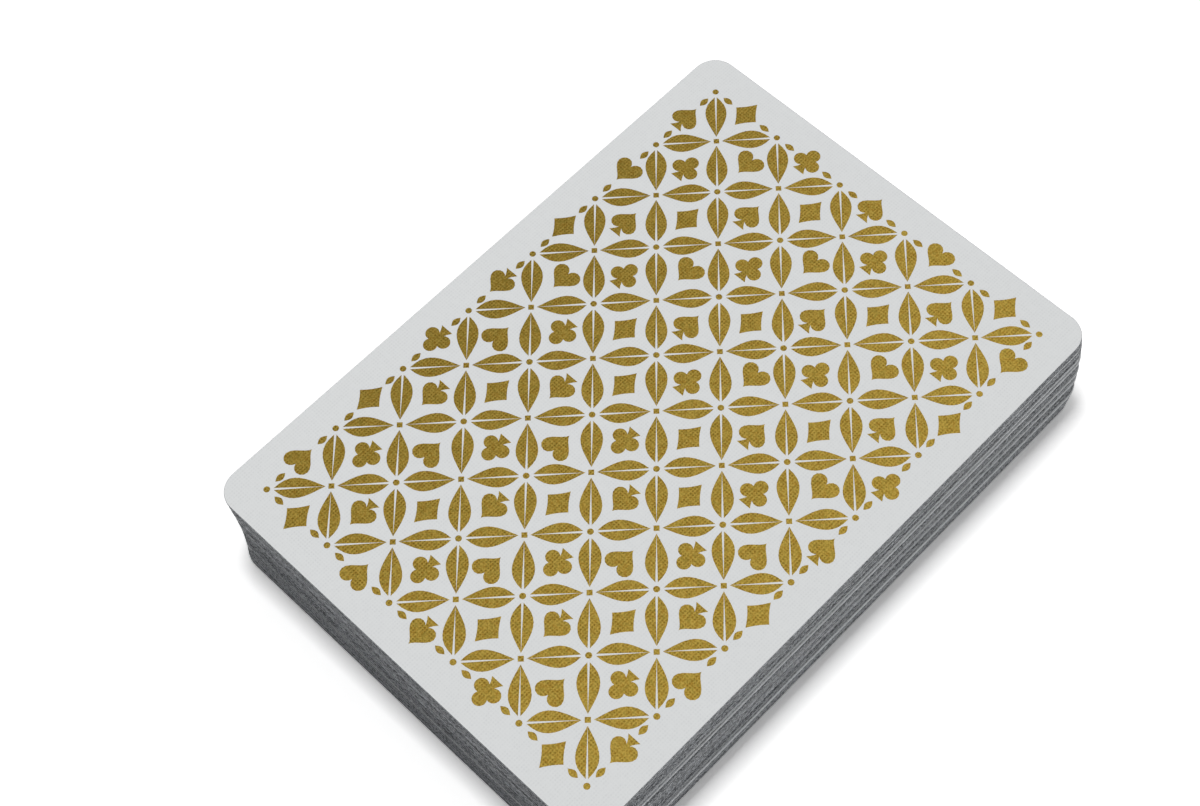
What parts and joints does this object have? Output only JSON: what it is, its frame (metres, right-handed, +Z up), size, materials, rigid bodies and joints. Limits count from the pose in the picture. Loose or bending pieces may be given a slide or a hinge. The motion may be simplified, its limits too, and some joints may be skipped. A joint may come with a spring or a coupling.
{
  "type": "playing card deck",
  "caption": "Squared-up pack of loose rounded-corner playing cards lying face down, with gold-printed linen-finish backs and silver edges; each card slides off the pack.",
  "frame": {"origin": "under the middle of the pack, on the surface that it lies on", "axes": "+X across the cards, +Y along them, +Z up through the pack from the faces to the backs"},
  "size_m": [0.0638, 0.0884, 0.0166],
  "materials": {
    "card_stock": "linen-embossed, satin varnish"
  },
  "bodies": {
    "ace_of_hearts": {"ace_of_hearts": "card_stock"},
    "two_of_hearts": {"two_of_hearts": "card_stock"},
    "three_of_hearts": {"three_of_hearts": "card_stock"},
    "four_of_hearts": {"four_of_hearts": "card_stock"},
    "five_of_hearts": {"five_of_hearts": "card_stock"},
    "six_of_hearts": {"six_of_hearts": "card_stock"},
    "seven_of_hearts": {"seven_of_hearts": "card_stock"},
    "eight_of_hearts": {"eight_of_hearts": "card_stock"},
    "nine_of_hearts": {"nine_of_hearts": "card_stock"},
    "ten_of_hearts": {"ten_of_hearts": "card_stock"},
    "jack_of_hearts": {"jack_of_hearts": "card_stock"},
    "queen_of_hearts": {"queen_of_hearts": "card_stock"},
    "king_of_hearts": {"king_of_hearts": "card_stock"},
    "ace_of_clubs": {"ace_of_clubs": "card_stock"},
    "two_of_clubs": {"two_of_clubs": "card_stock"},
    "three_of_clubs": {"three_of_clubs": "card_stock"},
    "four_of_clubs": {"four_of_clubs": "card_stock"},
    "five_of_clubs": {"five_of_clubs": "card_stock"},
    "six_of_clubs": {"six_of_clubs": "card_stock"},
    "seven_of_clubs": {"seven_of_clubs": "card_stock"},
    "eight_of_clubs": {"eight_of_clubs": "card_stock"},
    "nine_of_clubs": {"nine_of_clubs": "card_stock"},
    "ten_of_clubs": {"ten_of_clubs": "card_stock"},
    "jack_of_clubs": {"jack_of_clubs": "card_stock"},
    "queen_of_clubs": {"queen_of_clubs": "card_stock"},
    "king_of_clubs": {"king_of_clubs": "card_stock"},
    "king_of_diamonds": {"king_of_diamonds": "card_stock"},
    "queen_of_diamonds": {"queen_of_diamonds": "card_stock"},
    "jack_of_diamonds": {"jack_of_diamonds": "card_stock"},
    "ten_of_diamonds": {"ten_of_diamonds": "card_stock"},
    "nine_of_diamonds": {"nine_of_diamonds": "card_stock"},
    "eight_of_diamonds": {"eight_of_diamonds": "card_stock"},
    "seven_of_diamonds": {"seven_of_diamonds": "card_stock"},
    "six_of_diamonds": {"six_of_diamonds": "card_stock"},
    "five_of_diamonds": {"five_of_diamonds": "card_stock"},
    "four_of_diamonds": {"four_of_diamonds": "card_stock"},
    "three_of_diamonds": {"three_of_diamonds": "card_stock"},
    "two_of_diamonds": {"two_of_diamonds": "card_stock"},
    "ace_of_diamonds": {"ace_of_diamonds": "card_stock"},
    "king_of_spades": {"king_of_spades": "card_stock"},
    "queen_of_spades": {"queen_of_spades": "card_stock"},
    "jack_of_spades": {"jack_of_spades": "card_stock"},
    "ten_of_spades": {"ten_of_spades": "card_stock"},
    "nine_of_spades": {"nine_of_spades": "card_stock"},
    "eight_of_spades": {"eight_of_spades": "card_stock"},
    "seven_of_spades": {"seven_of_spades": "card_stock"},
    "six_of_spades": {"six_of_spades": "card_stock"},
    "five_of_spades": {"five_of_spades": "card_stock"},
    "four_of_spades": {"four_of_spades": "card_stock"},
    "three_of_spades": {"three_of_spades": "card_stock"},
    "two_of_spades": {"two_of_spades": "card_stock"},
    "ace_of_spades": {"ace_of_spades": "card_stock"},
    "black_joker": {"black_joker": "card_stock"},
    "red_joker": {"red_joker": "card_stock"}
  },
  "joints": [
    {"name": "red_joker_slide", "type": "slide", "parent": "ace_of_hearts", "child": "red_joker", "axis": [1, 0, 0], "range_m": [-0.07, 0.07]},
    {"name": "black_joker_slide", "type": "slide", "parent": "ace_of_hearts", "child": "black_joker", "axis": [1, 0, 0], "range_m": [-0.07, 0.07]},
    {"name": "ace_of_spades_slide", "type": "slide", "parent": "ace_of_hearts", "child": "ace_of_spades", "axis": [1, 0, 0], "range_m": [-0.07, 0.07]},
    {"name": "two_of_spades_slide", "type": "slide", "parent": "ace_of_hearts", "child": "two_of_spades", "axis": [1, 0, 0], "range_m": [-0.07, 0.07]},
    {"name": "three_of_spades_slide", "type": "slide", "parent": "ace_of_hearts", "child": "three_of_spades", "axis": [1, 0, 0], "range_m": [-0.07, 0.07]},
    {"name": "four_of_spades_slide", "type": "slide", "parent": "ace_of_hearts", "child": "four_of_spades", "axis": [1, 0, 0], "range_m": [-0.07, 0.07]},
    {"name": "five_of_spades_slide", "type": "slide", "parent": "ace_of_hearts", "child": "five_of_spades", "axis": [1, 0, 0], "range_m": [-0.07, 0.07]},
    {"name": "six_of_spades_slide", "type": "slide", "parent": "ace_of_hearts", "child": "six_of_spades", "axis": [1, 0, 0], "range_m": [-0.07, 0.07]},
    {"name": "seven_of_spades_slide", "type": "slide", "parent": "ace_of_hearts", "child": "seven_of_spades", "axis": [1, 0, 0], "range_m": [-0.07, 0.07]},
    {"name": "eight_of_spades_slide", "type": "slide", "parent": "ace_of_hearts", "child": "eight_of_spades", "axis": [1, 0, 0], "range_m": [-0.07, 0.07]},
    {"name": "nine_of_spades_slide", "type": "slide", "parent": "ace_of_hearts", "child": "nine_of_spades", "axis": [1, 0, 0], "range_m": [-0.07, 0.07]},
    {"name": "ten_of_spades_slide", "type": "slide", "parent": "ace_of_hearts", "child": "ten_of_spades", "axis": [1, 0, 0], "range_m": [-0.07, 0.07]},
    {"name": "jack_of_spades_slide", "type": "slide", "parent": "ace_of_hearts", "child": "jack_of_spades", "axis": [1, 0, 0], "range_m": [-0.07, 0.07]},
    {"name": "queen_of_spades_slide", "type": "slide", "parent": "ace_of_hearts", "child": "queen_of_spades", "axis": [1, 0, 0], "range_m": [-0.07, 0.07]},
    {"name": "king_of_spades_slide", "type": "slide", "parent": "ace_of_hearts", "child": "king_of_spades", "axis": [1, 0, 0], "range_m": [-0.07, 0.07]},
    {"name": "ace_of_diamonds_slide", "type": "slide", "parent": "ace_of_hearts", "child": "ace_of_diamonds", "axis": [1, 0, 0], "range_m": [-0.07, 0.07]},
    {"name": "two_of_diamonds_slide", "type": "slide", "parent": "ace_of_hearts", "child": "two_of_diamonds", "axis": [1, 0, 0], "range_m": [-0.07, 0.07]},
    {"name": "three_of_diamonds_slide", "type": "slide", "parent": "ace_of_hearts", "child": "three_of_diamonds", "axis": [1, 0, 0], "range_m": [-0.07, 0.07]},
    {"name": "four_of_diamonds_slide", "type": "slide", "parent": "ace_of_hearts", "child": "four_of_diamonds", "axis": [1, 0, 0], "range_m": [-0.07, 0.07]},
    {"name": "five_of_diamonds_slide", "type": "slide", "parent": "ace_of_hearts", "child": "five_of_diamonds", "axis": [1, 0, 0], "range_m": [-0.07, 0.07]},
    {"name": "six_of_diamonds_slide", "type": "slide", "parent": "ace_of_hearts", "child": "six_of_diamonds", "axis": [1, 0, 0], "range_m": [-0.07, 0.07]},
    {"name": "seven_of_diamonds_slide", "type": "slide", "parent": "ace_of_hearts", "child": "seven_of_diamonds", "axis": [1, 0, 0], "range_m": [-0.07, 0.07]},
    {"name": "eight_of_diamonds_slide", "type": "slide", "parent": "ace_of_hearts", "child": "eight_of_diamonds", "axis": [1, 0, 0], "range_m": [-0.07, 0.07]},
    {"name": "nine_of_diamonds_slide", "type": "slide", "parent": "ace_of_hearts", "child": "nine_of_diamonds", "axis": [1, 0, 0], "range_m": [-0.07, 0.07]},
    {"name": "ten_of_diamonds_slide", "type": "slide", "parent": "ace_of_hearts", "child": "ten_of_diamonds", "axis": [1, 0, 0], "range_m": [-0.07, 0.07]},
    {"name": "jack_of_diamonds_slide", "type": "slide", "parent": "ace_of_hearts", "child": "jack_of_diamonds", "axis": [1, 0, 0], "range_m": [-0.07, 0.07]},
    {"name": "queen_of_diamonds_slide", "type": "slide", "parent": "ace_of_hearts", "child": "queen_of_diamonds", "axis": [1, 0, 0], "range_m": [-0.07, 0.07]},
    {"name": "king_of_diamonds_slide", "type": "slide", "parent": "ace_of_hearts", "child": "king_of_diamonds", "axis": [1, 0, 0], "range_m": [-0.07, 0.07]},
    {"name": "king_of_clubs_slide", "type": "slide", "parent": "ace_of_hearts", "child": "king_of_clubs", "axis": [1, 0, 0], "range_m": [-0.07, 0.07]},
    {"name": "queen_of_clubs_slide", "type": "slide", "parent": "ace_of_hearts", "child": "queen_of_clubs", "axis": [1, 0, 0], "range_m": [-0.07, 0.07]},
    {"name": "jack_of_clubs_slide", "type": "slide", "parent": "ace_of_hearts", "child": "jack_of_clubs", "axis": [1, 0, 0], "range_m": [-0.07, 0.07]},
    {"name": "ten_of_clubs_slide", "type": "slide", "parent": "ace_of_hearts", "child": "ten_of_clubs", "axis": [1, 0, 0], "range_m": [-0.07, 0.07]},
    {"name": "nine_of_clubs_slide", "type": "slide", "parent": "ace_of_hearts", "child": "nine_of_clubs", "axis": [1, 0, 0], "range_m": [-0.07, 0.07]},
    {"name": "eight_of_clubs_slide", "type": "slide", "parent": "ace_of_hearts", "child": "eight_of_clubs", "axis": [1, 0, 0], "range_m": [-0.07, 0.07]},
    {"name": "seven_of_clubs_slide", "type": "slide", "parent": "ace_of_hearts", "child": "seven_of_clubs", "axis": [1, 0, 0], "range_m": [-0.07, 0.07]},
    {"name": "six_of_clubs_slide", "type": "slide", "parent": "ace_of_hearts", "child": "six_of_clubs", "axis": [1, 0, 0], "range_m": [-0.07, 0.07]},
    {"name": "five_of_clubs_slide", "type": "slide", "parent": "ace_of_hearts", "child": "five_of_clubs", "axis": [1, 0, 0], "range_m": [-0.07, 0.07]},
    {"name": "four_of_clubs_slide", "type": "slide", "parent": "ace_of_hearts", "child": "four_of_clubs", "axis": [1, 0, 0], "range_m": [-0.07, 0.07]},
    {"name": "three_of_clubs_slide", "type": "slide", "parent": "ace_of_hearts", "child": "three_of_clubs", "axis": [1, 0, 0], "range_m": [-0.07, 0.07]},
    {"name": "two_of_clubs_slide", "type": "slide", "parent": "ace_of_hearts", "child": "two_of_clubs", "axis": [1, 0, 0], "range_m": [-0.07, 0.07]},
    {"name": "ace_of_clubs_slide", "type": "slide", "parent": "ace_of_hearts", "child": "ace_of_clubs", "axis": [1, 0, 0], "range_m": [-0.07, 0.07]},
    {"name": "king_of_hearts_slide", "type": "slide", "parent": "ace_of_hearts", "child": "king_of_hearts", "axis": [1, 0, 0], "range_m": [-0.07, 0.07]},
    {"name": "queen_of_hearts_slide", "type": "slide", "parent": "ace_of_hearts", "child": "queen_of_hearts", "axis": [1, 0, 0], "range_m": [-0.07, 0.07]},
    {"name": "jack_of_hearts_slide", "type": "slide", "parent": "ace_of_hearts", "child": "jack_of_hearts", "axis": [1, 0, 0], "range_m": [-0.07, 0.07]},
    {"name": "ten_of_hearts_slide", "type": "slide", "parent": "ace_of_hearts", "child": "ten_of_hearts", "axis": [1, 0, 0], "range_m": [-0.07, 0.07]},
    {"name": "nine_of_hearts_slide", "type": "slide", "parent": "ace_of_hearts", "child": "nine_of_hearts", "axis": [1, 0, 0], "range_m": [-0.07, 0.07]},
    {"name": "eight_of_hearts_slide", "type": "slide", "parent": "ace_of_hearts", "child": "eight_of_hearts", "axis": [1, 0, 0], "range_m": [-0.07, 0.07]},
    {"name": "seven_of_hearts_slide", "type": "slide", "parent": "ace_of_hearts", "child": "seven_of_hearts", "axis": [1, 0, 0], "range_m": [-0.07, 0.07]},
    {"name": "six_of_hearts_slide", "type": "slide", "parent": "ace_of_hearts", "child": "six_of_hearts", "axis": [1, 0, 0], "range_m": [-0.07, 0.07]},
    {"name": "five_of_hearts_slide", "type": "slide", "parent": "ace_of_hearts", "child": "five_of_hearts", "axis": [1, 0, 0], "range_m": [-0.07, 0.07]},
    {"name": "four_of_hearts_slide", "type": "slide", "parent": "ace_of_hearts", "child": "four_of_hearts", "axis": [1, 0, 0], "range_m": [-0.07, 0.07]},
    {"name": "three_of_hearts_slide", "type": "slide", "parent": "ace_of_hearts", "child": "three_of_hearts", "axis": [1, 0, 0], "range_m": [-0.07, 0.07]},
    {"name": "two_of_hearts_slide", "type": "slide", "parent": "ace_of_hearts", "child": "two_of_hearts", "axis": [1, 0, 0], "range_m": [-0.07, 0.07]}
  ]
}
